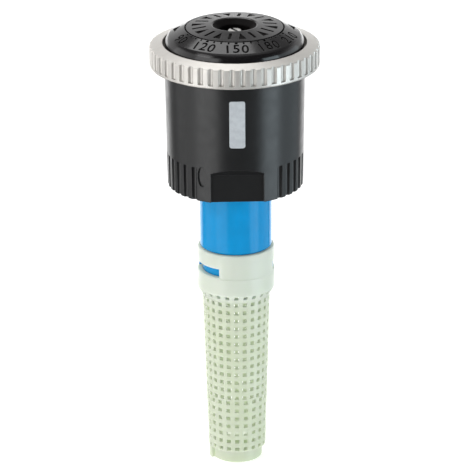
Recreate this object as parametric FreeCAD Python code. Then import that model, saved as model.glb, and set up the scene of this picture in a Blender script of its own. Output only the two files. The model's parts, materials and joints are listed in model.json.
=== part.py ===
import FreeCAD, Part
import math
import os

# Rotary stream nozzle for a pop-up sprinkler, in millimetres.
# It stands upright on the Z axis. The plane z = 0 is the mouth of the housing's socket, where the
# riser's thread enters. The front, with the reference mark, faces -Y. Angles are in degrees and
# are measured from the front, towards +X.

V = FreeCAD.Vector
CENTRE = V(0, 0, 0)
UP = V(0, 0, 1)
CLOSE = 1e-6

# ---------------------------------------------------------------- driving dimensions
RUN = 0.05                    # radial running clearance of every turning or sliding fit

# housing
FOOT_R = 12.0
FOOT_Z = -0.25                # rim round the socket's mouth
SHOULDER_R = 12.36
SHOULDER_Z = 21.4
NECK_R = 12.0
NECK_BORE_R = 10.9
NECK_TOP_Z = 23.3
BEAD_R = 12.2                 # snap bead that holds the arc ring
BEAD_Z = 22.6
BOSS_R = 8.7                  # inner tube that the nozzle insert turns in
BOSS_TOP_Z = 18.0
WEB_LOW_Z = 10.0              # floor between the thread socket and the nozzle chamber
WEB_TOP_Z = 11.5
WEB_HOLE_R = 5.6

# thread socket, 5/8"-28
THREAD_PITCH = 25.4 / 28
THREAD_MINOR_R = 7.45
THREAD_MAJOR_R = 7.94
THREAD_TURNS = 8
THREAD_START_Z = 0.65
CREST_LAND = 0.26
ROOT_LAND = 0.12

# grip flutes, wrench flats and mould mark round the foot
FLUTE_TOP_Z = 5.83
FLUTE_R = 0.54
FLUTES_PER_SIDE = 12
FLUTE_FIRST = 38.5
FLUTE_LAST = 141.5
FLAT_HALF_WIDTH = 4.65
FLAT_Y = 10.69                # distance from the axis to the floor of a wrench flat
FLAT_CEILING_Z = 4.65
MOULD_MARK_ANGLE = -30.8
MOULD_MARK_SIZE = (1.7, 3.7)
MOULD_MARK_DEPTH = 0.35
MOULD_MARK_Z = 4.3
POCKET_IN_R = 9.0             # coring pockets under the housing
POCKET_OUT_R = 9.9
POCKET_TOP_Z = 7.5
POCKET_WEBS = 8

# reference mark let into the front of the housing
MARK_WIDTH = 2.75
MARK_LOW_Z = 10.15
MARK_TOP_Z = 18.75
MARK_IN_R = 11.4
MARK_PROUD = 0.03
MARK_CORNER = 0.4

# arc adjustment ring
RING_R = 15.0
RING_LOW_Z = 21.73
RING_EDGE_Z = 25.19
RING_TOP_Z = 25.83
RING_INNER_R = 12.65
RING_WEB_Z = (23.4, 24.1)
RING_TEETH = 50
TOOTH_GAP_R = 0.5
TOOTH_GAP_LOW_Z = 22.25
SPLINES = 6                   # tabs by which the ring turns the nozzle insert
SPLINE_WIDTH = 1.4
SPLINE_IN_R = 11.4
SPLINE_R = 12.3
FLANGE_R = 11.8               # where the ring's web meets the insert's flange

# deflector: its underside is a trumpet, an arc swept round the axis
TRUMPET_R = 12.95
TRUMPET_CENTRE = (16.965, 12.908)
DEFLECTOR_LOW_Z = 15.6
SKIRT_LOW_Z = 24.6
SKIRT_R = 12.2
SKIRT_MIDDLE = (12.13, 26.2)  # point that the skirt's bulge passes through
SHOULDER_EDGE = (11.5, 27.1)
CAP_SEAT_R = 8.75
CAP_SEAT_Z = 26.9
CAP_SEAT_EDGE_Z = 28.43
CAP_RIM = (4.0, 28.95)        # highest ring of the cap
KEY_HOLE_R = 2.85
KEY_HOLE_EDGE_Z = 27.95
CHAMBER_R = 4.5
CHAMBER_Z = (19.6, 25.2)
LID_R = 6.0
LID_TOP_Z = 26.6
SEAL_R = 2.65                 # pockets of the two shaft seals
SEAL_LAND = 0.6
CHANNELS = 16
CHANNEL_WIDTH = 0.9
CHANNEL_DEPTH = 0.7
CHANNEL_SKEW = 0.5            # sideways offset that makes the streams turn the deflector

# nozzle insert under the trumpet
FUNNEL_GAP = 0.35
FUNNEL_WALL = 0.8
SPIGOT_R = 7.4
SPIGOT_Z = (13.4, 17.6)
ORING_Z = 15.8
ORING_WIRE_R = 0.44
ORING_GROOVE = 1.0
INSERT_BORE_R = 5.5
INSERT_FLOOR_Z = 14.2         # underside of the arc valve's land
LAND_TOP_Z = 14.9
THROAT_Z = 15.3               # where the funnel begins
SLOT_IN_R = 3.6               # annular water slot of the arc valve
SLOT_OUT_R = 4.2
BLADE_THICKNESS = 0.3
BLADE_SPAN = 150
BLADE_START = -150            # where the stem's blade begins, seen from the front
ARC_TRAVEL = 120

# stem that carries the shaft
STEM_HUB_R = 2.6
STEM_Z = (10.5, 14.9)
STEM_TAPER_Z = (13.2, 13.8)
STEM_RING_Z = (WEB_TOP_Z, 13.0)
STEM_RING_IN_R = 5.7
STEM_SPOKES = 4
BUSHING_R = 1.9

# shaft, its bearings and the viscous brake
SHAFT_R = 1.2
SHAFT_Z = (-11.5, 27.9)
BEARING_R = 2.25
STATOR_R = 4.3
STATOR_Z = (19.9, 24.9)
STATOR_HOLES = (6, 0.45, 2.8)  # how many, their radius, and how far they are from the axis
SLOT_WIDTH = 0.5
SLOT_DEPTH = 0.8
SLOT_ANGLE = 118
SCREW_PITCH = 0.5             # thread that moves the throttle
SCREW_DEPTH = 0.2
SCREW_TURNS = 7
CLIP_Z = (-5.3, -4.9)
CLIP_R = 2.3
CLIP_GROOVE = 0.25
WASHER_R = 2.6
WASHER_THICKNESS = 0.3

# lift spring round the shaft
SPRING_Z = (-4.0, 10.2)
SPRING_R = 2.25
SPRING_WIRE_R = 0.25
SPRING_TURNS = 8
SPRING_SEAT_R = 3.0
RETAINER_R = 2.9
RETAINER_NOSE_R = 1.9         # inside the spring's end
RETAINER_NOSE = 1.2

# inlet tube, throttle and filter basket
TUBE_TOP_R = 6.44
TUBE_LOW_R = 6.38
TUBE_BORE_R = 5.35
TUBE_FLANGE_Z = (9.0, 10.0)
GASKET_THICKNESS = 0.6
TUBE_SHOULDER_Z = -11.85
SPOUT_R = 5.93
TUBE_END_Z = -20.0
RIB_IN_R = 4.5
RIB_WIDTH = 0.8
RIB_TOP_Z = -2.0
RIBS = 3
SEAT_HOLE_R = 3.4
SEAT_THICKNESS = 1.0
THROTTLE_R = 5.2
THROTTLE_Z = (-9.6, -8.0)
THROTTLE_NUT = (2.2, 1.2)     # radius and length of the boss below
THROTTLE_BEVEL = (4.6, 0.5)
THROTTLE_HOLE = (0.6, 3.3)    # radius and distance from the axis of the holes that always flow
BARB_R = 6.6
BARB_Z = (-16.1, -14.85)
BARB_SPAN = 12
BARB_FIRST = -96

COLLAR_TOP_R = 6.83
COLLAR_R = 6.9                # guiding land under the windows
COLLAR_Z = (-19.65, -12.0)
GUIDE_TOP_Z = -16.6
COLLAR_BORE_R = SPOUT_R + RUN
CONE_TOP = (6.06, -21.1)
CONE_END = (5.13, -50.4)
CONE_WALL = 0.65
PLUG_R = 4.55
BASKET_END_Z = -52.7
FLOOR_THICKNESS = 0.9
WINDOW_Z = (-16.3, -14.63)
WINDOW_FIRST = -27.7
WINDOW_LAST = -109.7
LUG_R = 5.08
LUG_Z = (-52.55, -50.4)
LUG_FIRST = -68
LUG_LAST = -140
HOLE_WIDTH = 0.78
HOLE_HEIGHT = 0.74
UPPER_ROWS = (14, -20.1, 1.505, 25, -1.7)     # rows, first height, pitch, columns, first angle
LOWER_ROWS = (7, -40.7, 1.517, 21, -1.7)


# ---------------------------------------------------------------- helpers
def corner_round(before, corner, after, radius):
    """Start, middle and end of the arc that rounds one corner of an outline."""
    to_before = (before - corner).normalize()
    to_after = (after - corner).normalize()
    half = to_before.getAngle(to_after) / 2
    reach = radius / math.tan(half)
    bisector = (to_before + to_after).normalize()
    middle = corner + bisector * (radius / math.sin(half) - radius)
    return corner + to_before * reach, middle, corner + to_after * reach


def turned(corners, arcs=None):
    """Revolve a closed outline about Z.

    Each corner is (radius, height) or (radius, height, round). arcs maps a corner's place in the
    list to a point that the edge after it passes through as an arc.
    """
    arcs = arcs or {}
    points = [V(corner[0], 0, corner[1]) for corner in corners]
    count = len(points)
    joints = []
    for i, corner in enumerate(corners):
        if len(corner) > 2:
            joints.append(corner_round(points[i - 1], points[i], points[(i + 1) % count], corner[2]))
        else:
            joints.append((points[i], None, points[i]))
    edges = []
    for i in range(count):
        start, middle, end = joints[i]
        if middle is not None:
            edges.append(Part.Arc(start, middle, end).toShape())
        following = joints[(i + 1) % count][0]
        if i in arcs:
            via = V(arcs[i][0], 0, arcs[i][1])
            edges.append(Part.Arc(end, via, following).toShape())
        elif (following - end).Length > CLOSE:
            edges.append(Part.LineSegment(end, following).toShape())
    return Part.Face(Part.Wire(edges)).revolve(CENTRE, UP, 360)


def sleeve(inner, outer, low, high):
    """Plain ring between two radii and two heights."""
    return turned([(inner, low), (outer, low), (outer, high), (inner, high)])


def rod(radius, low, high):
    """Upright cylinder on the axis."""
    return Part.makeCylinder(radius, high - low, V(0, 0, low))


def at_front(shape, angle):
    """Turn a shape from the front to the given angle."""
    turned_shape = shape.copy()
    turned_shape.rotate(CENTRE, UP, angle)
    return turned_shape


def sector(inner, outer, low, high, first, last):
    """Part of a ring between two angles from the front, first < last."""
    blank = Part.makeCylinder(outer, high - low, V(0, 0, low), UP, last - first)
    core = Part.makeCylinder(inner, high - low + 2, V(0, 0, low - 1))
    return at_front(blank.cut(core), first - 90)


def front_box(half_width, near_r, far_r, low, high):
    """Box on the front, between two distances from the axis."""
    return Part.makeBox(2 * half_width, far_r - near_r, high - low, V(-half_width, -far_r, low))


def upright_rod(radius, distance, low, high):
    """Upright cylinder standing off the axis at the front."""
    return Part.makeCylinder(radius, high - low, V(0, -distance, low))


def trumpet_r(height, offset=0.0):
    """Radius of the trumpet at a height; a positive offset lies outside it."""
    centre_r, centre_z = TRUMPET_CENTRE
    return centre_r - math.sqrt((TRUMPET_R - offset) ** 2 - (height - centre_z) ** 2)


def trumpet_z(radius, offset=0.0):
    """Height at which the trumpet, or its offset, reaches a radius."""
    centre_r, centre_z = TRUMPET_CENTRE
    return centre_z + math.sqrt((TRUMPET_R - offset) ** 2 - (centre_r - radius) ** 2)


def housing_r(height):
    """Radius of the tapered outside of the housing."""
    return FOOT_R + (SHOULDER_R - FOOT_R) * (height - FOOT_Z) / (SHOULDER_Z - FOOT_Z)


def cone_r(height):
    """Outer radius of the basket's strainer cone."""
    (top_r, top_z), (end_r, end_z) = CONE_TOP, CONE_END
    return top_r + (end_r - top_r) * (top_z - height) / (top_z - end_z)


def save(shape, name):
    """Write one node after checking that it is made of valid solids."""
    if not shape.isValid() or not shape.Solids:
        raise ValueError("bad shape: " + name)
    if len(shape.Solids) == 1:
        shape = shape.Solids[0]
    shape.exportStep(os.path.join("parts", name + ".step"))
    print(name, len(shape.Solids), "solid", round(shape.Volume, 2), "mm3")


# ---------------------------------------------------------------- housing group
def thread_outline():
    """V grooves of the socket from the lowest up, with full lands at the minor radius between."""
    flank = (THREAD_PITCH - CREST_LAND) / 2
    corners = []
    for turn in range(THREAD_TURNS):
        low = THREAD_START_Z + CREST_LAND + turn * THREAD_PITCH
        corners.append((THREAD_MINOR_R, low))
        corners.append((THREAD_MAJOR_R, low + flank - ROOT_LAND / 2))
        corners.append((THREAD_MAJOR_R, low + flank + ROOT_LAND / 2))
        corners.append((THREAD_MINOR_R, low + 2 * flank))
    return corners


def wrench_flat():
    """Cutter for one flat: a level floor with a 45 degree ceiling, open below."""
    reach = FOOT_R + 1
    outline = [
        V(-FLAT_HALF_WIDTH, -FLAT_Y, -1),
        V(-FLAT_HALF_WIDTH, -FLAT_Y, FLAT_CEILING_Z),
        V(-FLAT_HALF_WIDTH, -reach, FLAT_CEILING_Z + reach - FLAT_Y),
        V(-FLAT_HALF_WIDTH, -reach, -1),
    ]
    face = Part.Face(Part.makePolygon(outline + outline[:1]))
    return face.extrude(V(2 * FLAT_HALF_WIDTH, 0, 0))


def mould_mark():
    """Cutter for the plain oval dimple beside the front flat."""
    width, height = MOULD_MARK_SIZE
    oval = Part.Ellipse(CENTRE, height / 2, width / 2).toShape()
    bar = Part.Face(Part.Wire(oval)).extrude(V(0, 0, 3))
    bar.rotate(CENTRE, V(0, 1, 0), 90)
    bar.rotate(CENTRE, UP, -90)
    bar.translate(V(0, MOULD_MARK_DEPTH - housing_r(MOULD_MARK_Z), MOULD_MARK_Z))
    return at_front(bar, MOULD_MARK_ANGLE)


def mark_block():
    """Rounded block on the front from which the reference mark and its pocket are made."""
    block = front_box(MARK_WIDTH / 2, MARK_IN_R, FOOT_R + 2, MARK_LOW_Z, MARK_TOP_Z)
    corners = [e for e in block.Edges if abs(e.tangentAt(e.FirstParameter).y) > 0.9]
    return block.makeFillet(MARK_CORNER, corners)


def make_housing():
    outline = [
        (FOOT_R, FOOT_Z, 0.12),
        (SHOULDER_R, SHOULDER_Z, 0.25),
        (NECK_R, SHOULDER_Z),
        (NECK_R, BEAD_Z - 0.25),
        (BEAD_R, BEAD_Z - 0.1),
        (BEAD_R, BEAD_Z + 0.1),
        (NECK_R, BEAD_Z + 0.25),
        (NECK_R, NECK_TOP_Z, 0.15),
        (NECK_BORE_R, NECK_TOP_Z),
        (NECK_BORE_R, WEB_TOP_Z + 1),
        (NECK_BORE_R - 0.5, WEB_TOP_Z),
        (BOSS_R, WEB_TOP_Z),
        (BOSS_R, BOSS_TOP_Z),
        (SPIGOT_R + RUN, BOSS_TOP_Z),
        (SPIGOT_R + RUN, WEB_TOP_Z),
        (WEB_HOLE_R, WEB_TOP_Z),
        (WEB_HOLE_R, WEB_LOW_Z),
        (THREAD_MINOR_R, WEB_LOW_Z),
    ]
    outline += reversed(thread_outline())
    outline += [
        (THREAD_MINOR_R, THREAD_START_Z),
        (THREAD_MINOR_R + THREAD_START_Z, 0),
        (POCKET_OUT_R, 0),
        (POCKET_OUT_R, FOOT_Z),
    ]
    body = turned(outline)

    cutters = [mould_mark()]
    step = (FLUTE_LAST - FLUTE_FIRST) / (FLUTES_PER_SIDE - 1)
    flute = upright_rod(FLUTE_R, FOOT_R + 0.1, -1, FLUTE_TOP_Z)
    for side in (-1, 1):
        for i in range(FLUTES_PER_SIDE):
            cutters.append(at_front(flute, side * (FLUTE_FIRST + i * step)))
    for angle in (0, 180):
        cutters.append(at_front(wrench_flat(), angle))
    pitch = 360 / POCKET_WEBS
    for i in range(POCKET_WEBS):
        first = i * pitch + 4
        cutters.append(sector(POCKET_IN_R, POCKET_OUT_R, -1, POCKET_TOP_Z, first, first + pitch - 8))
    pocket = mark_block().cut(rod(MARK_IN_R, MARK_LOW_Z - 1, MARK_TOP_Z + 1))
    cutters.append(pocket)
    return body.cut(cutters)


def make_reference_mark():
    shell = turned([
        (MARK_IN_R, 0),
        (housing_r(0) + MARK_PROUD, 0),
        (housing_r(SHOULDER_Z) + MARK_PROUD, SHOULDER_Z),
        (MARK_IN_R, SHOULDER_Z),
    ])
    return mark_block().common(shell)


def make_inlet_tube():
    low, high = TUBE_FLANGE_Z
    body = turned([
        (TUBE_BORE_R, high, 0.2),
        (SPIGOT_R, high),
        (SPIGOT_R, low),
        (TUBE_TOP_R, low),
        (TUBE_LOW_R, TUBE_SHOULDER_Z, 0.15),
        (SPOUT_R, TUBE_SHOULDER_Z),
        (SPOUT_R, TUBE_END_Z, 0.25),
        (TUBE_BORE_R, TUBE_END_Z),
    ])
    extras = []
    for i in range(RIBS):
        rib = front_box(RIB_WIDTH / 2, RIB_IN_R, TUBE_BORE_R + 0.2, TUBE_END_Z + 1, RIB_TOP_Z)
        extras.append(at_front(rib, i * 360 / RIBS))
    for turn in (0, 180):
        first = BARB_FIRST - BARB_SPAN
        barb = sector(SPOUT_R - 0.2, BARB_R, BARB_Z[0], BARB_Z[1], first, BARB_FIRST)
        extras.append(at_front(barb, turn))
    return body.fuse(extras).removeSplitter()


def make_inlet_gasket():
    low = TUBE_FLANGE_Z[0] - GASKET_THICKNESS
    return turned([
        (TUBE_TOP_R + 0.03, low, 0.12),
        (SPIGOT_R, low, 0.12),
        (SPIGOT_R, TUBE_FLANGE_Z[0]),
        (TUBE_TOP_R + 0.03, TUBE_FLANGE_Z[0]),
    ])


def make_stem():
    """Spider in the water way whose head closes the inside of the arc valve's slot."""
    low, high = STEM_Z
    hub = turned([
        (BUSHING_R, low),
        (STEM_HUB_R, low, 0.15),
        (STEM_HUB_R, STEM_TAPER_Z[0]),
        (SLOT_IN_R, STEM_TAPER_Z[1]),
        (SLOT_IN_R, high),
        (BUSHING_R, high),
    ])
    ring_low, ring_high = STEM_RING_Z
    ring = sleeve(STEM_RING_IN_R, SPIGOT_R, ring_low, ring_high)
    pieces = [ring]
    spoke = front_box(0.5, STEM_HUB_R - 0.2, STEM_RING_IN_R + 0.3, ring_low, ring_high)
    for i in range(STEM_SPOKES):
        pieces.append(at_front(spoke, (i + 0.5) * 360 / STEM_SPOKES))
    blade_low = high - BLADE_THICKNESS
    pieces.append(sector(SLOT_IN_R - 0.2, SLOT_OUT_R - RUN, blade_low, high,
                         BLADE_START, BLADE_START + BLADE_SPAN))
    return hub.fuse(pieces).removeSplitter()


def make_shaft_bushing():
    return turned([
        (SHAFT_R + RUN, STEM_Z[0] + 0.2),
        (BUSHING_R, STEM_Z[0] + 0.2),
        (BUSHING_R, STEM_Z[1] - SEAL_LAND),
        (SHAFT_R + RUN, STEM_Z[1] - SEAL_LAND),
    ])


def make_stem_seal():
    """Ring in the top of the stem that wipes the shaft."""
    top = STEM_Z[1]
    return turned([
        (SHAFT_R + RUN / 2, top - SEAL_LAND / 2, 0.08),
        (SHAFT_R + 0.25, top - SEAL_LAND),
        (BUSHING_R, top - SEAL_LAND),
        (BUSHING_R, top),
        (SHAFT_R + 0.25, top),
    ])


def make_spring_seat():
    """Washer under the stem's hub that the lift spring bears on."""
    return sleeve(SHAFT_R + 0.15, SPRING_SEAT_R, SPRING_Z[1], STEM_Z[0])


def make_throttle_seat():
    low = RIB_TOP_Z
    return turned([
        (SEAT_HOLE_R, low, 0.25),
        (TUBE_BORE_R, low),
        (TUBE_BORE_R, low + SEAT_THICKNESS),
        (SEAT_HOLE_R, low + SEAT_THICKNESS, 0.25),
    ])


# ---------------------------------------------------------------- arc ring group
def spline_blocks():
    """Tabs by which the ring turns the nozzle insert."""
    block = front_box(SPLINE_WIDTH / 2, SPLINE_IN_R, SPLINE_R, RING_WEB_Z[0], RING_WEB_Z[1])
    return [at_front(block, i * 360 / SPLINES) for i in range(SPLINES)]


def make_arc_ring():
    web_low, web_high = RING_WEB_Z
    groove = BEAD_R + RUN
    body = turned([
        (NECK_R + RUN, RING_LOW_Z),
        (RING_R, RING_LOW_Z, 0.22),
        (RING_R, RING_EDGE_Z, 0.35),
        (RING_INNER_R, RING_TOP_Z, 0.12),
        (RING_INNER_R, web_high),
        (FLANGE_R, web_high),
        (FLANGE_R, web_low),
        (NECK_R + RUN, web_low),
        (NECK_R + RUN, BEAD_Z + 0.3),
        (groove, BEAD_Z + 0.15),
        (groove, BEAD_Z - 0.15),
        (NECK_R + RUN, BEAD_Z - 0.3),
    ])
    gap = upright_rod(TOOTH_GAP_R, RING_R + 0.05, TOOTH_GAP_LOW_Z, RING_TOP_Z + 1)
    gaps = [at_front(gap, (i + 0.5) * 360 / RING_TEETH) for i in range(RING_TEETH)]
    return body.cut(gaps + spline_blocks())


def make_nozzle_insert():
    """Funnel under the trumpet, with the spigot and blade of the arc valve."""
    web_low, web_high = RING_WEB_Z
    spigot_low, spigot_top = SPIGOT_Z
    back = FUNNEL_GAP + FUNNEL_WALL
    wall_r = NECK_BORE_R - RUN
    groove_r = SPIGOT_R - 2 * ORING_WIRE_R
    groove_low = ORING_Z - ORING_GROOVE / 2
    corners = [
        (INSERT_BORE_R, spigot_low),
        (SPIGOT_R, spigot_low, 0.2),
        (SPIGOT_R, groove_low),
        (groove_r, groove_low),
        (groove_r, groove_low + ORING_GROOVE),
        (SPIGOT_R, groove_low + ORING_GROOVE),
        (SPIGOT_R, spigot_top),
        (trumpet_r(spigot_top, back), spigot_top),
        (wall_r, trumpet_z(wall_r, back)),
        (wall_r, web_low),
        (FLANGE_R, web_low),
        (FLANGE_R, web_high),
        (trumpet_r(web_high, FUNNEL_GAP), web_high),
        (trumpet_r(THROAT_Z, FUNNEL_GAP), THROAT_Z),
        (SLOT_OUT_R, LAND_TOP_Z),
        (SLOT_OUT_R, INSERT_FLOOR_Z),
        (INSERT_BORE_R, INSERT_FLOOR_Z),
    ]
    middle = (spigot_top + web_low) / 2
    arcs = {7: (trumpet_r(middle, back), middle), 12: (trumpet_r(middle, FUNNEL_GAP), middle)}
    body = turned(corners, arcs)
    start = BLADE_START - ARC_TRAVEL
    blade = sector(SLOT_IN_R + RUN, SLOT_OUT_R + 0.2, INSERT_FLOOR_Z,
                   INSERT_FLOOR_Z + BLADE_THICKNESS, start, start + BLADE_SPAN)
    return body.fuse([blade] + spline_blocks()).removeSplitter()


def make_nozzle_oring():
    ring = Part.makeTorus(SPIGOT_R + 0.03 - ORING_WIRE_R, ORING_WIRE_R)
    ring.translate(V(0, 0, ORING_Z))
    return ring


# ---------------------------------------------------------------- deflector group
def channel():
    """Cutter for one water channel that follows the trumpet."""
    centre_r, centre_z = TRUMPET_CENTRE
    corner = V(CHANNEL_SKEW - CHANNEL_WIDTH / 2, -centre_r, centre_z)
    along = V(1, 0, 0)
    outer = Part.makeCylinder(TRUMPET_R + CHANNEL_DEPTH, CHANNEL_WIDTH, corner, along)
    inner = Part.makeCylinder(TRUMPET_R - 1, CHANNEL_WIDTH, corner, along)
    inside = front_box(CHANNEL_WIDTH, 0.5, centre_r, DEFLECTOR_LOW_Z - 1, SKIRT_LOW_Z + 2.5)
    return outer.cut(inner).common(inside)


def make_deflector():
    edge_r, edge_z = SHOULDER_EDGE
    low, high = CHAMBER_Z
    corners = [
        (BEARING_R, DEFLECTOR_LOW_Z),
        (trumpet_r(DEFLECTOR_LOW_Z), DEFLECTOR_LOW_Z),
        (trumpet_r(SKIRT_LOW_Z), SKIRT_LOW_Z),
        (SKIRT_R, SKIRT_LOW_Z),
        (SKIRT_R + 0.07, SKIRT_LOW_Z + 1.0),
        (edge_r + 0.25, edge_z - 0.25),
        (edge_r, edge_z, 0.2),
        (CAP_SEAT_R, CAP_SEAT_EDGE_Z, 0.1),
        (CAP_SEAT_R, CAP_SEAT_Z),
        (LID_R, CAP_SEAT_Z),
        (LID_R, high),
        (CHAMBER_R, high),
        (CHAMBER_R, low),
        (SEAL_R, low),
        (SEAL_R, low - SEAL_LAND),
        (BEARING_R, low - SEAL_LAND),
    ]
    middle = (DEFLECTOR_LOW_Z + SKIRT_LOW_Z) / 2
    arcs = {1: (trumpet_r(middle), middle), 4: SKIRT_MIDDLE}
    body = turned(corners, arcs)
    cut = [at_front(channel(), i * 360 / CHANNELS) for i in range(CHANNELS)]
    return body.cut(cut)


def make_deflector_cap():
    """Disc that closes the top and leaves a hole for the radius adjusting screw."""
    rim_r, rim_z = CAP_RIM
    return turned([
        (KEY_HOLE_R, CAP_SEAT_Z),
        (CAP_SEAT_R - RUN, CAP_SEAT_Z),
        (CAP_SEAT_R - RUN, CAP_SEAT_EDGE_Z - 0.03, 0.12),
        (rim_r, rim_z, 0.45),
        (KEY_HOLE_R, KEY_HOLE_EDGE_Z, 0.3),
    ])


def make_chamber_lid():
    """Lid of the brake chamber, with pockets for the upper bearing and seal."""
    low = CHAMBER_Z[1]
    seal_z = LID_TOP_Z - SEAL_LAND
    return turned([
        (BEARING_R, low),
        (LID_R, low),
        (LID_R, LID_TOP_Z, 0.15),
        (SEAL_R, LID_TOP_Z),
        (SEAL_R, seal_z),
        (BEARING_R, seal_z),
    ])


def make_bearing(low, high):
    return turned([
        (SHAFT_R + RUN, low, 0.1),
        (BEARING_R, low),
        (BEARING_R, high),
        (SHAFT_R + RUN, high),
    ])


def make_shaft_seal(low):
    """Lip seal round the shaft, SEAL_LAND high."""
    return turned([
        (SHAFT_R + RUN / 2, low + SEAL_LAND / 2, 0.08),
        (SHAFT_R + 0.35, low),
        (SEAL_R, low),
        (SEAL_R, low + SEAL_LAND),
        (SHAFT_R + 0.35, low + SEAL_LAND),
    ])


# ---------------------------------------------------------------- shaft and lift group
def make_shaft():
    low, high = SHAFT_Z
    clip_low, clip_high = CLIP_Z
    groove_r = SHAFT_R - CLIP_GROOVE
    corners = [(0, low), (SHAFT_R, low, 0.2)]
    for i in range(SCREW_TURNS):
        start = low + (i + 1.2) * SCREW_PITCH
        corners.append((SHAFT_R, start))
        corners.append((SHAFT_R - SCREW_DEPTH, start + 0.4 * SCREW_PITCH))
        corners.append((SHAFT_R, start + 0.8 * SCREW_PITCH))
    corners += [
        (SHAFT_R, clip_low),
        (groove_r, clip_low),
        (groove_r, clip_high),
        (SHAFT_R, clip_high),
        (SHAFT_R, high, 0.15),
        (0, high),
    ]
    body = turned(corners)
    slot = Part.makeBox(4, SLOT_WIDTH, SLOT_DEPTH + 1, V(-2, -SLOT_WIDTH / 2, high - SLOT_DEPTH))
    return body.cut(at_front(slot, SLOT_ANGLE))


def make_stator():
    """Drum pressed on the shaft, which drags in the grease of the brake chamber."""
    low, high = STATOR_Z
    body = turned([
        (SHAFT_R, low),
        (STATOR_R, low, 0.3),
        (STATOR_R, high, 0.3),
        (SHAFT_R, high),
    ])
    count, radius, distance = STATOR_HOLES
    hole = upright_rod(radius, distance, low - 1, high + 1)
    return body.cut([at_front(hole, i * 360 / count) for i in range(count)])


def make_retaining_clip():
    """Open ring snapped into the shaft's groove under the spring retainer."""
    low, high = CLIP_Z
    ring = sleeve(SHAFT_R - CLIP_GROOVE, CLIP_R, low, high)
    mouth = front_box(0.8, 0, 3, low - 1, high + 1)
    return ring.cut(mouth)


def make_thrust_washer():
    return sleeve(SHAFT_R + RUN, WASHER_R, CLIP_Z[1], CLIP_Z[1] + WASHER_THICKNESS)


def make_spring_retainer():
    low = CLIP_Z[1] + WASHER_THICKNESS
    spring_z = SPRING_Z[0]
    return turned([
        (SHAFT_R + RUN, low),
        (RETAINER_R, low),
        (RETAINER_R, spring_z, 0.1),
        (RETAINER_NOSE_R, spring_z),
        (RETAINER_NOSE_R - 0.15, spring_z + RETAINER_NOSE),
        (SHAFT_R + RUN, spring_z + RETAINER_NOSE),
    ])


def make_return_spring():
    """Compression spring whose last turn at each end lies flat."""
    low, high = SPRING_Z
    low += SPRING_WIRE_R
    high -= SPRING_WIRE_R
    flat = 2.4 * SPRING_WIRE_R
    rise = (high - low - 2 * flat) / (SPRING_TURNS - 2)
    parts = []
    for pitch, height, start in ((flat, flat, low), (rise, high - low - 2 * flat, low + flat),
                                 (flat, flat, high - flat)):
        helix = Part.makeHelix(pitch, height, SPRING_R)
        helix.translate(V(0, 0, start))
        parts += helix.Edges
    path = Part.Wire(Part.__sortEdges__(parts))
    section = Part.Wire(Part.Circle(V(SPRING_R, 0, low), V(0, 1, 0), SPRING_WIRE_R).toShape())
    return path.makePipeShell([section], True, True)


def make_throttle():
    """Plug on the shaft's thread that the tube's ribs keep from turning."""
    low, high = THROTTLE_Z
    nut_r, nut_length = THROTTLE_NUT
    bevel_r, bevel = THROTTLE_BEVEL
    hole_r, hole_distance = THROTTLE_HOLE
    body = turned([
        (SHAFT_R + RUN, low - nut_length),
        (nut_r, low - nut_length, 0.2),
        (nut_r, low),
        (THROTTLE_R, low, 0.2),
        (THROTTLE_R, high - bevel),
        (bevel_r, high, 0.2),
        (SHAFT_R + RUN, high),
    ])
    notch = front_box(RIB_WIDTH / 2 + 0.1, RIB_IN_R - 0.12, THROTTLE_R + 1, low - 1, high + 1)
    hole = at_front(upright_rod(hole_r, hole_distance, low - 1, high + 1), 180)
    cutters = [at_front(notch, i * 360 / RIBS) for i in range(RIBS)]
    cutters += [at_front(hole, i * 360 / RIBS) for i in range(RIBS)]
    return body.cut(cutters)


# ---------------------------------------------------------------- filter basket
def strainer_holes():
    """Square holes of the strainer, in an upper and a lower field."""
    cutters = []
    for rows, first_z, pitch, columns, first_angle in (UPPER_ROWS, LOWER_ROWS):
        for row in range(rows):
            z = first_z - row * pitch
            reach = max(cone_r(z), CONE_END[0])
            hole = front_box(HOLE_WIDTH / 2, reach - 1.4, reach + 1.2,
                             z - HOLE_HEIGHT / 2, z + HOLE_HEIGHT / 2)
            for column in range(columns):
                cutters.append(at_front(hole, first_angle + column * 360 / columns))
    return Part.makeCompound(cutters)


def make_filter_basket():
    low, high = COLLAR_Z
    top_r, top_z = CONE_TOP
    end_r, end_z = CONE_END
    ledge_z = TUBE_END_Z - 0.3
    floor_z = BASKET_END_Z + FLOOR_THICKNESS
    body = turned([
        (COLLAR_BORE_R, high, 0.2),
        (COLLAR_TOP_R, high, 0.25),
        (COLLAR_TOP_R, GUIDE_TOP_Z + COLLAR_R - COLLAR_TOP_R),
        (COLLAR_R, GUIDE_TOP_Z),
        (COLLAR_R, low, 0.4),
        (top_r, top_z, 0.3),
        (end_r, end_z, 0.15),
        (PLUG_R, end_z),
        (PLUG_R - 0.05, BASKET_END_Z, 0.45),
        (0, BASKET_END_Z),
        (0, floor_z),
        (PLUG_R - CONE_WALL, floor_z),
        (end_r - CONE_WALL, end_z),
        (top_r - CONE_WALL, top_z),
        (top_r - CONE_WALL, ledge_z),
        (COLLAR_BORE_R, ledge_z),
    ])
    lug = sector(PLUG_R - 0.3, LUG_R, LUG_Z[0], LUG_Z[1], LUG_LAST, LUG_FIRST)
    window = sector(5, COLLAR_R + 1, WINDOW_Z[0], WINDOW_Z[1], WINDOW_LAST, WINDOW_FIRST)
    body = body.fuse(lug).cut([window, at_front(window, 180)])
    return body.cut(strainer_holes())


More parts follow.
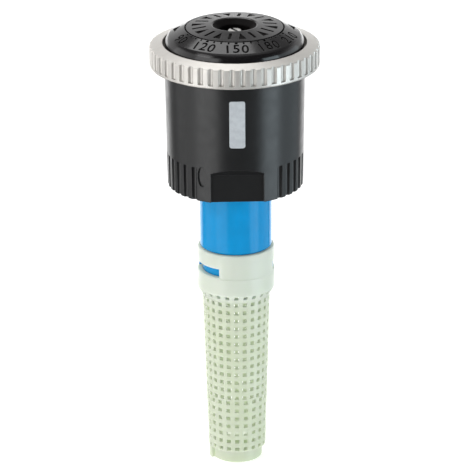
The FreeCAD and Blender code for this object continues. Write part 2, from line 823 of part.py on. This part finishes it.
# ---------------------------------------------------------------- all nodes
def main():
    os.makedirs("parts", exist_ok=True)
    save(make_housing(), "housing")
    save(make_reference_mark(), "reference_mark")
    save(make_inlet_tube(), "inlet_tube")
    save(make_inlet_gasket(), "inlet_gasket")
    save(make_stem(), "stem")
    save(make_shaft_bushing(), "shaft_bushing")
    save(make_stem_seal(), "stem_seal")
    save(make_spring_seat(), "spring_seat_washer")
    save(make_throttle_seat(), "throttle_seat")

    save(make_arc_ring(), "arc_ring")
    save(make_nozzle_insert(), "nozzle_insert")
    save(make_nozzle_oring(), "nozzle_oring")

    save(make_deflector(), "deflector")
    save(make_deflector_cap(), "deflector_cap")
    save(make_chamber_lid(), "chamber_lid")
    save(make_bearing(DEFLECTOR_LOW_Z, CHAMBER_Z[0] - SEAL_LAND), "lower_bearing")
    save(make_bearing(CHAMBER_Z[1], LID_TOP_Z - SEAL_LAND), "upper_bearing")
    save(make_shaft_seal(CHAMBER_Z[0] - SEAL_LAND), "lower_seal")
    save(make_shaft_seal(LID_TOP_Z - SEAL_LAND), "upper_seal")

    save(make_shaft(), "shaft")
    save(make_stator(), "stator")
    save(make_retaining_clip(), "retaining_clip")

    save(make_thrust_washer(), "thrust_washer")
    save(make_spring_retainer(), "spring_retainer")
    save(make_return_spring(), "return_spring")

    save(make_throttle(), "throttle")
    save(make_filter_basket(), "filter_basket")


main()
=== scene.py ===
import json
import math

import bmesh
import bpy
from mathutils import Matrix, Quaternion, Vector
from mathutils.bvhtree import BVHTree
from mathutils.interpolate import poly_3d_calc


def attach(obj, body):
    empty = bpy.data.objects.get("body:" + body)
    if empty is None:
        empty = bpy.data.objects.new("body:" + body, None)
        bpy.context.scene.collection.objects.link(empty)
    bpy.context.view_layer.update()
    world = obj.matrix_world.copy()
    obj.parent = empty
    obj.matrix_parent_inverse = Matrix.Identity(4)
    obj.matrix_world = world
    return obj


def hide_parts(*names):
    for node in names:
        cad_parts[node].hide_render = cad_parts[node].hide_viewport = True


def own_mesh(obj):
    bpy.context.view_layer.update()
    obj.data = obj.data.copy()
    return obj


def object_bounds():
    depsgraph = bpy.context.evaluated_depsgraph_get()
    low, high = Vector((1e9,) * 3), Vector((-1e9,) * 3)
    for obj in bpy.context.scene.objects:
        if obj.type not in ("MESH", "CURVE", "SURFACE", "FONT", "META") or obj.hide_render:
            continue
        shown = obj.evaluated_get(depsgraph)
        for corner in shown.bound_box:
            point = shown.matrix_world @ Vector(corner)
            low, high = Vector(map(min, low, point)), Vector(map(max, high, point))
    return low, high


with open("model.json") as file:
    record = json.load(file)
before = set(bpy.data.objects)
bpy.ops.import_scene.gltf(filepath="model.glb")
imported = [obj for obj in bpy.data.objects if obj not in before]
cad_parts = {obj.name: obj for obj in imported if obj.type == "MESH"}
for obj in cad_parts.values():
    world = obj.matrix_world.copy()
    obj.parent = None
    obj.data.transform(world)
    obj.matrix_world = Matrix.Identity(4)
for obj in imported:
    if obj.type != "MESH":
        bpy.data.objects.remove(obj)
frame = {"nodes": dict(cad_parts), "record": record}
cad_low, cad_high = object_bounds()

MM = 0.001
NODES = frame["nodes"]
HEIGHT = cad_high.z - cad_low.z


# ---------------------------------------------------------------- camera, lights and floor
# Lengths in metres, angles in degrees. Azimuth 0 is the front (-Y) and grows towards +X.
CAMERA_TARGET = Vector((-0.16 * MM, 0, cad_low.z + 0.518 * HEIGHT))
CAMERA_AZIMUTH = -1.7
CAMERA_ELEVATION = 20.4
CAMERA_ROLL = -0.38
CAMERA_DISTANCE = 9.0 * HEIGHT
FLOOR_REACH = 30 * HEIGHT
LIGHTS_TARGET = Vector((0, 0, cad_low.z + 0.6 * HEIGHT))
WHITE = (1, 1, 1)
COOL = (0.8, 0.93, 1.0)
SOFTBOXES = {  # azimuth, elevation, distance, width and height, radiance, colour
    "softbox_left": (-48, 4, 0.5, (0.36, 0.66), 1.25, WHITE),
    "softbox_left_wide": (-72, 4, 0.55, (1.1, 0.66), 0.9, WHITE),
    "softbox_left_glint": (-60, 40, 0.5, (0.2, 0.14), 2.5, WHITE),
    "softbox_right": (59, -4, 0.5, (0.26, 0.5), 3.0, COOL),
    "softbox_right_wide": (96, -4, 0.55, (0.6, 0.5), 0.8, COOL),
    "softbox_top_left": (-156, 64, 0.5, (0.34, 0.28), 2.6, WHITE),
    "softbox_top": (180, 88, 0.5, (0.36, 0.1), 2.4, WHITE),
    "softbox_back": (180, -14, 0.55, (0.9, 0.35), 1.8, WHITE),
}
# The light tent: pairs of height, from -1 straight down to 1 straight up, and brightness.
TENT_FRONT = ((-1, 0.3), (-0.15, 0.22), (0, 0.05), (0.75, 0.05), (0.88, 0.6), (1, 0.8))
TENT_BACK = ((-1, 0.1), (-0.1, 0.1), (0, 0.9), (0.4, 0.9), (0.52, 0.3), (0.7, 0.3), (0.8, 0.6), (1, 0.6))
TENT_SEAM = (-0.3, 0.5)  # stretch of Y over which the front blends into the back


def look_at(obj, target, roll=0.0):
    """Aim an object's -Z at a point, then turn it about its own line of sight."""
    aim = (obj.location - target).to_track_quat("Z", "Y")
    obj.rotation_mode = "QUATERNION"
    obj.rotation_quaternion = aim @ Quaternion((0, 0, 1), roll)


def on_sphere(target, azimuth, elevation, distance):
    """Point seen from the target at an azimuth from the front (-Y), in degrees."""
    a, e = math.radians(azimuth), math.radians(elevation)
    offset = Vector((math.sin(a) * math.cos(e), -math.cos(a) * math.cos(e), math.sin(e)))
    return target + offset * distance


def make_camera():
    data = bpy.data.cameras.new("camera")
    data.sensor_width = 36
    data.lens = 315.8
    data.clip_start = 0.01
    data.clip_end = 20
    camera = bpy.data.objects.new("camera", data)
    bpy.context.collection.objects.link(camera)
    camera.location = on_sphere(CAMERA_TARGET, CAMERA_AZIMUTH, CAMERA_ELEVATION, CAMERA_DISTANCE)
    look_at(camera, CAMERA_TARGET, math.radians(CAMERA_ROLL))
    bpy.context.scene.camera = camera


def softbox(name, azimuth, elevation, distance, size, radiance, colour):
    """Rectangular light of a given brightness that faces the object and stays out of sight."""
    data = bpy.data.lights.new(name, "AREA")
    data.shape = "RECTANGLE"
    data.size, data.size_y = size
    data.energy = radiance * math.pi * size[0] * size[1]
    data.color = colour
    light = bpy.data.objects.new(name, data)
    bpy.context.collection.objects.link(light)
    light.location = on_sphere(LIGHTS_TARGET, azimuth, elevation, distance)
    look_at(light, LIGHTS_TARGET)
    light.visible_camera = False


def make_lights():
    for name, values in SOFTBOXES.items():
        softbox(name, *values)


def make_world():
    """Light tent: bright above the horizon behind the object, dark in front up to near the top."""
    world = bpy.data.worlds.new("studio")
    world.use_nodes = True
    tree = world.node_tree

    def node(kind, **inputs):
        made = tree.nodes.new(kind)
        for socket, value in inputs.items():
            made.inputs[socket.replace("_", " ")].default_value = value
        return made

    split = node("ShaderNodeSeparateXYZ")
    tree.links.new(node("ShaderNodeTexCoord").outputs["Generated"], split.inputs["Vector"])
    height = node("ShaderNodeMapRange", From_Min=-1)
    tree.links.new(split.outputs["Z"], height.inputs["Value"])
    behind = node("ShaderNodeMapRange", From_Min=TENT_SEAM[0], From_Max=TENT_SEAM[1])
    tree.links.new(split.outputs["Y"], behind.inputs["Value"])
    tents = []
    for stops in (TENT_FRONT, TENT_BACK):
        ramp = node("ShaderNodeValToRGB")
        tree.links.new(height.outputs["Result"], ramp.inputs["Fac"])
        elements = ramp.color_ramp.elements
        while len(elements) < len(stops):
            elements.new(1)
        for element, (stop_height, brightness) in zip(elements, stops):
            element.position = (stop_height + 1) / 2
            element.color = (brightness, brightness, brightness, 1)
        tents.append(ramp)
    mix = tree.nodes.new("ShaderNodeMix")
    mix.data_type = "RGBA"
    tree.links.new(behind.outputs["Result"], mix.inputs["Factor"])
    tree.links.new(tents[0].outputs["Color"], mix.inputs["A"])
    tree.links.new(tents[1].outputs["Color"], mix.inputs["B"])
    tree.links.new(mix.outputs["Result"], tree.nodes["Background"].inputs["Color"])
    bpy.context.scene.world = world
    bpy.context.scene.view_settings.view_transform = "Standard"


def make_floor():
    """White floor that the object stands on. It casts no shadow, and the object's gloss doesn't mirror it."""
    mesh = bpy.data.meshes.new("floor")
    builder = bmesh.new()
    bmesh.ops.create_grid(builder, x_segments=8, y_segments=8, size=FLOOR_REACH)
    builder.to_mesh(mesh)
    builder.free()
    floor = bpy.data.objects.new("floor", mesh)
    floor.location.z = cad_low.z
    bpy.context.collection.objects.link(floor)
    mesh.materials.append(floor_material())
    floor.visible_glossy = False
    floor.visible_shadow = False


# ---------------------------------------------------------------- materials
# Cosines of the turn of a softened normal at which an edge starts to show, and shows in full.
EDGE_STARTS = 0.995
EDGE_FULL = 0.85


class Finish:
    """Procedural material wired round one Principled shader."""

    def __init__(self, name, colour, roughness, **constants):
        self.material = bpy.data.materials.new(name)
        self.material.use_nodes = True
        self.tree = self.material.node_tree
        self.shader = self.tree.nodes["Principled BSDF"]
        self.colour = colour
        self.shader.inputs["Base Color"].default_value = (*colour, 1)
        self.shader.inputs["Roughness"].default_value = roughness
        for socket, value in constants.items():
            self.shader.inputs[socket.replace("_", " ")].default_value = value
        self.place = self.node("ShaderNodeTexCoord").outputs["Object"]
        self.normal = None

    def node(self, kind, **settings):
        made = self.tree.nodes.new(kind)
        for key, value in settings.items():
            setattr(made, key, value)
        return made

    def link(self, source, target):
        self.tree.links.new(source, target)

    def noise(self, size, detail=3.0, stretch=(1, 1, 1)):
        """Noise with features about size metres across, divided by the stretch along each axis."""
        mapping = self.node("ShaderNodeMapping")
        mapping.inputs["Scale"].default_value = stretch
        self.link(self.place, mapping.inputs["Vector"])
        noise = self.node("ShaderNodeTexNoise")
        noise.inputs["Scale"].default_value = 1 / size
        noise.inputs["Detail"].default_value = detail
        self.link(mapping.outputs["Vector"], noise.inputs["Vector"])
        return noise.outputs["Fac"]

    def ramp(self, value, low, high, to_low=0.0, to_high=1.0):
        """Map a value between two ends on to two others."""
        mapping = self.node("ShaderNodeMapRange")
        mapping.inputs["From Min"].default_value = low
        mapping.inputs["From Max"].default_value = high
        mapping.inputs["To Min"].default_value = to_low
        mapping.inputs["To Max"].default_value = to_high
        self.link(value, mapping.inputs["Value"])
        return mapping.outputs["Result"]

    def soften_edges(self, radius):
        """Round every edge in shading by a real radius and keep the normal for bumps."""
        bevel = self.node("ShaderNodeBevel", samples=6)
        bevel.inputs["Radius"].default_value = radius
        self.normal = bevel.outputs["Normal"]
        self.link(self.normal, self.shader.inputs["Normal"])

    def edge_mask(self):
        """One on edges that soften_edges has rounded, nought on flat or gently curved faces."""
        geometry = self.node("ShaderNodeNewGeometry")
        dot = self.node("ShaderNodeVectorMath", operation="DOT_PRODUCT")
        self.link(self.normal, dot.inputs[0])
        self.link(geometry.outputs["Normal"], dot.inputs[1])
        return self.ramp(dot.outputs["Value"], EDGE_STARTS, EDGE_FULL)

    def bump(self, height, depth):
        """Raise the surface by up to depth metres where height is one."""
        bump = self.node("ShaderNodeBump")
        bump.inputs["Strength"].default_value = 1.0
        bump.inputs["Distance"].default_value = depth
        self.link(height, bump.inputs["Height"])
        if self.normal is not None:
            self.link(self.normal, bump.inputs["Normal"])
        self.normal = bump.outputs["Normal"]
        self.link(self.normal, self.shader.inputs["Normal"])

    def vary_roughness(self, value, low, high):
        """Let the roughness follow a noise value, from low to high."""
        self.link(self.ramp(value, 0.3, 0.7, low, high), self.shader.inputs["Roughness"])

    def tint(self, mask, colour):
        """Mix another colour in where the mask is one."""
        mix = self.node("ShaderNodeMix", data_type="RGBA")
        self.link(mask, mix.inputs["Factor"])
        socket = self.shader.inputs["Base Color"]
        if socket.links:
            self.link(socket.links[0].from_socket, mix.inputs["A"])
        else:
            mix.inputs["A"].default_value = (*self.colour, 1)
        mix.inputs["B"].default_value = (*colour, 1)
        self.link(mix.outputs["Result"], socket)


def floor_material():
    finish = Finish("floor_paper", (0.75, 0.75, 0.75), 0.8, Specular_IOR_Level=0.2,
                    Emission_Color=(1, 1, 1, 1), Emission_Strength=0.55)
    finish.tint(finish.ramp(finish.noise(0.12), 0.35, 0.65), (0.78, 0.78, 0.775))
    return finish.material


def moulded(name, colour, roughness, edge_colour, grain=0.004 * MM, soft=0.12 * MM, **constants):
    """Moulded plastic: fine spark-eroded grain, uneven sheen and slightly scuffed edges."""
    finish = Finish(name, colour, sum(roughness) / 2, **constants)
    finish.soften_edges(soft)
    scuffs = finish.edge_mask()
    lighter = tuple(1.25 * channel for channel in colour)
    finish.tint(finish.ramp(finish.noise(3 * MM), 0.35, 0.7, to_high=0.35), lighter)
    finish.tint(scuffs, edge_colour)
    finish.vary_roughness(finish.noise(1.6 * MM), *roughness)
    finish.bump(finish.noise(0.16 * MM, 2), grain)
    return finish.material


def housing_material():
    return moulded("housing_black", (0.006, 0.0065, 0.007), (0.28, 0.36), (0.03, 0.032, 0.034),
                   Specular_IOR_Level=0.5)


def deflector_material():
    return moulded("deflector_charcoal", (0.008, 0.007, 0.0075), (0.13, 0.2), (0.03, 0.028, 0.029),
                   grain=0.001 * MM, soft=0.07 * MM)


# Dark rough finish of the cut marks: partly their own finish, partly painted shade in the cuts, in the groove
# round the disc's edge and in the cap's well.
def engraving_and_shade_material():
    return moulded("engraved_marks", (0.004, 0.003, 0.003), (0.6, 0.75), (0.008, 0.007, 0.007),
                   Specular_IOR_Level=0.08)


def mark_material():
    finish = Finish("mark_silver", (0.5, 0.53, 0.56), 0.45, Metallic=0.25)
    finish.soften_edges(0.1 * MM)
    finish.tint(finish.ramp(finish.noise(0.9 * MM), 0.35, 0.65), (0.57, 0.605, 0.63))
    finish.bump(finish.noise(0.5 * MM), 0.008 * MM)
    return finish.material


def tube_material():
    return moulded("tube_blue", (0.0, 0.258, 0.575), (0.16, 0.24), (0.01, 0.31, 0.66),
                   grain=0.001 * MM, Specular_IOR_Level=0.22)


# Heights in mm between which the basket's colour changes from its collar's to its mesh's.
COLLAR_TINT_ENDS = -19.5
MESH_TINT_STARTS = -23


def basket_material():
    """Translucent pale green: light scatters in the wall, and a faint painted glow stands in for the light
    that passes through it.
    """
    # Painted light: the faint green glow brightens the basket where light would shine through it.
    finish = Finish("basket_green", (0.56, 0.605, 0.525), 0.34, Subsurface_Weight=0.8,
                    Subsurface_Scale=2.5 * MM, IOR=1.49, Emission_Color=(0.78, 0.86, 0.72, 1),
                    Emission_Strength=0.1)
    finish.shader.inputs["Subsurface Radius"].default_value = (0.9, 1.0, 0.8)
    finish.soften_edges(0.1 * MM)
    split = finish.node("ShaderNodeSeparateXYZ")
    finish.link(finish.place, split.inputs["Vector"])
    mesh_mask = finish.ramp(split.outputs["Z"], COLLAR_TINT_ENDS * MM, MESH_TINT_STARTS * MM)
    finish.tint(mesh_mask, (0.50, 0.55, 0.40))
    finish.tint(finish.ramp(finish.noise(6 * MM), 0.35, 0.65, to_high=0.4), (0.55, 0.59, 0.49))
    finish.vary_roughness(finish.noise(1.2 * MM), 0.28, 0.42)
    finish.bump(finish.noise(0.5 * MM), 0.004 * MM)
    return finish.material


def ring_material():
    finish = Finish("ring_nickel", (0.64, 0.62, 0.585), 0.4, Metallic=0.6)
    finish.soften_edges(0.14 * MM)
    edges = finish.edge_mask()
    brushed = finish.noise(0.25 * MM, 4, (1, 1, 0.2))
    finish.tint(finish.ramp(finish.noise(1.4 * MM), 0.4, 0.7, to_high=0.5), (0.58, 0.555, 0.52))
    finish.tint(edges, (0.78, 0.76, 0.73))
    finish.vary_roughness(brushed, 0.34, 0.46)
    finish.bump(finish.noise(0.4 * MM, 4), 0.006 * MM)
    return finish.material


def steel_material():
    finish = Finish("stainless", (0.66, 0.65, 0.63), 0.25, Metallic=1.0)
    finish.soften_edges(0.05 * MM)
    finish.tint(finish.edge_mask(), (0.8, 0.8, 0.78))
    finish.vary_roughness(finish.noise(0.3 * MM, 3, (1, 1, 0.1)), 0.18, 0.34)
    finish.bump(finish.noise(0.2 * MM), 0.001 * MM)
    return finish.material


def rubber_material():
    return moulded("seal_rubber", (0.012, 0.012, 0.013), (0.55, 0.7), (0.03, 0.03, 0.03))


def acetal_material():
    return moulded("acetal", (0.78, 0.77, 0.72), (0.3, 0.42), (0.85, 0.84, 0.8))


def insert_material():
    return moulded("insert_black", (0.016, 0.016, 0.017), (0.38, 0.5), (0.045, 0.045, 0.048))


def dress_frame():
    """Give every CAD node the material of its slot, and return the materials by name."""
    finishes = {
        "housing_plastic": housing_material(),
        "mark_silver": mark_material(),
        "tube_blue": tube_material(),
        "ring_nickel": ring_material(),
        "deflector_plastic": deflector_material(),
        "insert_plastic": insert_material(),
        "bearing_plastic": acetal_material(),
        "seal_rubber": rubber_material(),
        "stainless": steel_material(),
        "basket_plastic": basket_material(),
        "engraved_marks": engraving_and_shade_material(),
    }
    for part in frame["record"]["subparts"]:
        for slot in NODES[part["node"]].material_slots:
            slot.material = finishes[part["material_slot"]]
    return finishes


# ---------------------------------------------------------------- engraved dial
# Sizes in mm, angles in degrees.
MARK_DEPTH = 0.16
SLOPE_FOOT = (11.5, 27.1)  # radius and height of the sloping edge's outer end
SLOPE_TOP = (8.74, 28.43)
DISC_INNER = (4.0, 28.95)  # radius and height of the disc's top, at its hole and at its edge
DISC_OUTER = (8.7, 28.4)
DIAL_NUMBERS = ("90", "120", "150", "180", "210")
NUMBER_SIZE = 2.75
NUMBER_STEP = 33
NUMBER_UP = 1.22  # distance of the numbers and arrows up the slope from its foot
TICK = (0.28, 0.4)  # width and length
TICK_UP = 2.68
TICKS_BETWEEN = 3
LONG_TICK_WIDTH = 1.7 * TICK[0]
ARROWS = ((-99, 1), (99, -1))  # angle, and which way it points
ARROW = (2.6, 1.6)  # length and width
DISC_MARKS = 20
DISC_MARKS_RADIUS = 6.3
DISC_TICK = (0.55, 2.5)  # width and length
WEDGE = (1.44, 2.5)
RIM_GROOVE = (8.52, 8.9)  # radii of the groove round the disc's edge
RIM_GROOVE_DEPTH = 0.3
RIM_GROOVE_ABOVE = 0.5  # how far its cutter stands out of the disc
CAP_WELL_SHADE = 3.8  # radius inside which the cap's faces take the dark finish as painted shade
ON_SURFACE = 1e-6  # a face this near the CAD surface, in metres, is still part of it
SAME_WAY = 0.9  # least cosine between a face and the CAD surface that it is part of
PLAIN, MARK_AND_SHADE = 0, 1  # places of the two finishes in an engraved mesh: plain, and the marks' dark finish, which is partly painted shade


def prism(outline, thickness):
    """Closed prism over a flat outline, centred on z = 0, as a bmesh."""
    builder = bmesh.new()
    face = builder.faces.new([builder.verts.new((x, y, -thickness / 2)) for x, y in outline])
    raised = bmesh.ops.extrude_face_region(builder, geom=[face])["geom"]
    moved = [item for item in raised if isinstance(item, bmesh.types.BMVert)]
    bmesh.ops.translate(builder, vec=(0, 0, thickness), verts=moved)
    bmesh.ops.recalc_face_normals(builder, faces=builder.faces)
    return builder


def bar(width, length):
    """Outline of a bar centred on the origin."""
    x, y = width / 2, length / 2
    return [(-x, -y), (x, -y), (x, y), (-x, y)]


def wedge(width, length):
    """Outline of a wedge that points along +y."""
    x, y = width / 2, length / 2
    return [(-x, -y), (x, -y), (0, y)]


def arrow(length, width, way):
    """Outline of an arrow head that points along x, one way or the other."""
    x, y = way * length / 2, width / 2
    outline = [(-x, -y), (x, 0), (-x, y)]
    return outline if way > 0 else outline[::-1]


def number(text, size, thickness):
    """Solid digits centred on the origin, from Blender's own plain font."""
    curve = bpy.data.curves.new("digits", "FONT")
    curve.body = text
    curve.align_x = "CENTER"
    curve.align_y = "CENTER"
    curve.size = size
    curve.space_character = 1.12
    curve.offset = 0.012 * size
    curve.extrude = thickness / 2
    curve.resolution_u = 3
    carrier = bpy.data.objects.new("digits", curve)
    mesh = bpy.data.meshes.new_from_object(carrier)
    builder = bmesh.new()
    builder.from_mesh(mesh)
    bmesh.ops.remove_doubles(builder, verts=builder.verts, dist=1e-4 * size)
    bpy.data.objects.remove(carrier)
    bpy.data.curves.remove(curve)
    bpy.data.meshes.remove(mesh)
    return builder


def on_slope(angle, radius, height, tilt):
    """Frame on a turned surface: x goes round, y goes in towards the axis, z stands out."""
    lean = Matrix.Rotation(math.radians(tilt), 4, "X")
    out = Matrix.Translation((0, -radius, height))
    return Matrix.Rotation(math.radians(angle), 4, "Z") @ out @ lean


def hoop(inner, outer, low, high, steps=96):
    """Flat ring from one radius to another and one height to another, as a bmesh."""
    builder = bmesh.new()
    corners = ((inner, low), (outer, low), (outer, high), (inner, high))
    turns = [2 * math.pi * i / steps for i in range(steps)]
    rows = [[builder.verts.new((r * math.cos(t), r * math.sin(t), z)) for r, z in corners] for t in turns]
    for this, following in zip(rows, rows[1:] + rows[:1]):
        for i in range(4):
            j = (i + 1) % 4
            builder.faces.new((this[i], following[i], following[j], this[j]))
    bmesh.ops.recalc_face_normals(builder, faces=builder.faces)
    return builder


def cutter_object(shapes):
    """One object from (bmesh, matrix) pairs given in millimetres."""
    joined = bmesh.new()
    for builder, matrix in shapes:
        builder.transform(Matrix.Scale(MM, 4) @ matrix)
        mesh = bpy.data.meshes.new("mark")
        builder.to_mesh(mesh)
        builder.free()
        joined.from_mesh(mesh)
        bpy.data.meshes.remove(mesh)
    mesh = bpy.data.meshes.new("marks")
    joined.to_mesh(mesh)
    joined.free()
    cutter = bpy.data.objects.new("marks", mesh)
    bpy.context.collection.objects.link(cutter)
    return cutter


def keep_shading(mesh, source):
    """Give cut faces the marks' dark finish, partly painted shade in the cuts, and the others the CAD
    surface's own normals.
    """
    points = [vertex.co for vertex in source.vertices]
    polygons = [tuple(polygon.vertices) for polygon in source.polygons]
    tree = BVHTree.FromPolygons(points, polygons)
    source_normals = source.corner_normals
    normals = [None] * len(mesh.loops)
    for polygon in mesh.polygons:
        _, facing, index, away = tree.find_nearest(polygon.center)
        on_surface = away < ON_SURFACE and facing.dot(polygon.normal) > SAME_WAY
        polygon.use_smooth = True
        if not on_surface:
            polygon.material_index = MARK_AND_SHADE
        for loop in polygon.loop_indices:
            if on_surface:
                original = source.polygons[index]
                corners = [points[i] for i in original.vertices]
                weights = poly_3d_calc(corners, mesh.vertices[mesh.loops[loop].vertex_index].co)
                normal = Vector((0, 0, 0))
                for weight, corner in zip(weights, original.loop_indices):
                    normal += weight * source_normals[corner].vector
                normals[loop] = normal.normalized()
            else:
                normals[loop] = polygon.normal.copy()
    mesh.normals_split_custom_set(normals)


def engraved(node, name, cutter, body, finishes, painted_shade_within=0.0):
    """Copy of a CAD node, with marks cut in it and painted shade inside a radius, that takes the node's
    place.
    """
    source = NODES[node].data
    piece = bpy.data.objects.new(name, source.copy())
    bpy.context.collection.objects.link(piece)
    piece.matrix_world = NODES[node].matrix_world.copy()
    modifier = piece.modifiers.new("engraving", "BOOLEAN")
    modifier.operation = "DIFFERENCE"
    modifier.solver = "EXACT"
    modifier.object = cutter
    bpy.context.view_layer.update()
    depsgraph = bpy.context.evaluated_depsgraph_get()
    mesh = bpy.data.meshes.new_from_object(piece.evaluated_get(depsgraph))
    piece.modifiers.clear()
    piece.data = mesh
    mesh.name = name
    mesh.materials.clear()
    for finish in finishes:
        mesh.materials.append(finish)
    for polygon in mesh.polygons:
        polygon.material_index = PLAIN
    keep_shading(mesh, source)
    # Painted shade in the cap's well: faces inside the radius take the dark finish of the marks.
    for polygon in mesh.polygons:
        if math.hypot(polygon.center.x, polygon.center.y) < painted_shade_within:
            polygon.material_index = MARK_AND_SHADE
    bpy.data.objects.remove(cutter)
    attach(piece, body)
    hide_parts(node)


def slope_marks():
    """Arc scale on the sloping edge: a number in degrees at each long tick, short ones between."""
    run, rise = SLOPE_FOOT[0] - SLOPE_TOP[0], SLOPE_TOP[1] - SLOPE_FOOT[1]
    tilt = math.atan2(rise, run)
    shapes = []

    def place(builder, angle, along):
        radius = SLOPE_FOOT[0] - along * math.cos(tilt)
        height = SLOPE_FOOT[1] + along * math.sin(tilt)
        shapes.append((builder, on_slope(angle, radius, height, math.degrees(tilt))))

    last = len(DIAL_NUMBERS) - 1
    first_angle = -NUMBER_STEP * last / 2
    for i, text in enumerate(DIAL_NUMBERS):
        place(number(text, NUMBER_SIZE, 2 * MARK_DEPTH), first_angle + NUMBER_STEP * i, NUMBER_UP)
    ticks_a_step = TICKS_BETWEEN + 1
    for i in range(last * ticks_a_step + 1):
        width = LONG_TICK_WIDTH if i % ticks_a_step == 0 else TICK[0]
        angle = first_angle + NUMBER_STEP / ticks_a_step * i
        place(prism(bar(width, TICK[1]), 2 * MARK_DEPTH), angle, TICK_UP)
    for angle, way in ARROWS:
        place(prism(arrow(*ARROW, way), 2 * MARK_DEPTH), angle, NUMBER_UP)
    return cutter_object(shapes)


def disc_marks():
    """Ring of wedges and ticks round the hole over the radius screw, and a groove at the disc's edge that the
    dark finish fills with painted shade.
    """
    tilt = math.atan2(DISC_INNER[1] - DISC_OUTER[1], DISC_OUTER[0] - DISC_INNER[0])
    shapes = []
    height = DISC_INNER[1] - (DISC_MARKS_RADIUS - DISC_INNER[0]) * math.tan(tilt)
    for i in range(DISC_MARKS):
        outline = wedge(*WEDGE) if i % 2 == 0 else bar(*DISC_TICK)
        angle = 360 / DISC_MARKS * (i + 0.5)
        where = on_slope(angle, DISC_MARKS_RADIUS, height, math.degrees(tilt))
        shapes.append((prism(outline, 2 * MARK_DEPTH), where))
    groove = hoop(*RIM_GROOVE, DISC_OUTER[1] - RIM_GROOVE_DEPTH, DISC_OUTER[1] + RIM_GROOVE_ABOVE)
    shapes.append((groove, Matrix.Identity(4)))
    return cutter_object(shapes)


def live_spring():
    """Copy of the return spring with a mesh of its own, carried by the housing, in place of the CAD node."""
    node = NODES["return_spring"]
    spring = bpy.data.objects.new("live_spring", node.data.copy())
    bpy.context.collection.objects.link(spring)
    spring.matrix_world = node.matrix_world.copy()
    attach(spring, "housing")
    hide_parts("return_spring")
    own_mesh(spring)


# ---------------------------------------------------------------- the scene
make_camera()
make_lights()
make_world()
make_floor()
finishes = dress_frame()
# The second finish darkens the cut marks and paints shade into the groove and the cap's well.
marks_and_shade = (finishes["deflector_plastic"], finishes["engraved_marks"])
engraved("deflector", "deflector_with_dial", slope_marks(), "deflector", marks_and_shade)
engraved("deflector_cap", "cap_with_ticks", disc_marks(), "deflector", marks_and_shade,
         painted_shade_within=CAP_WELL_SHADE * MM)
live_spring()
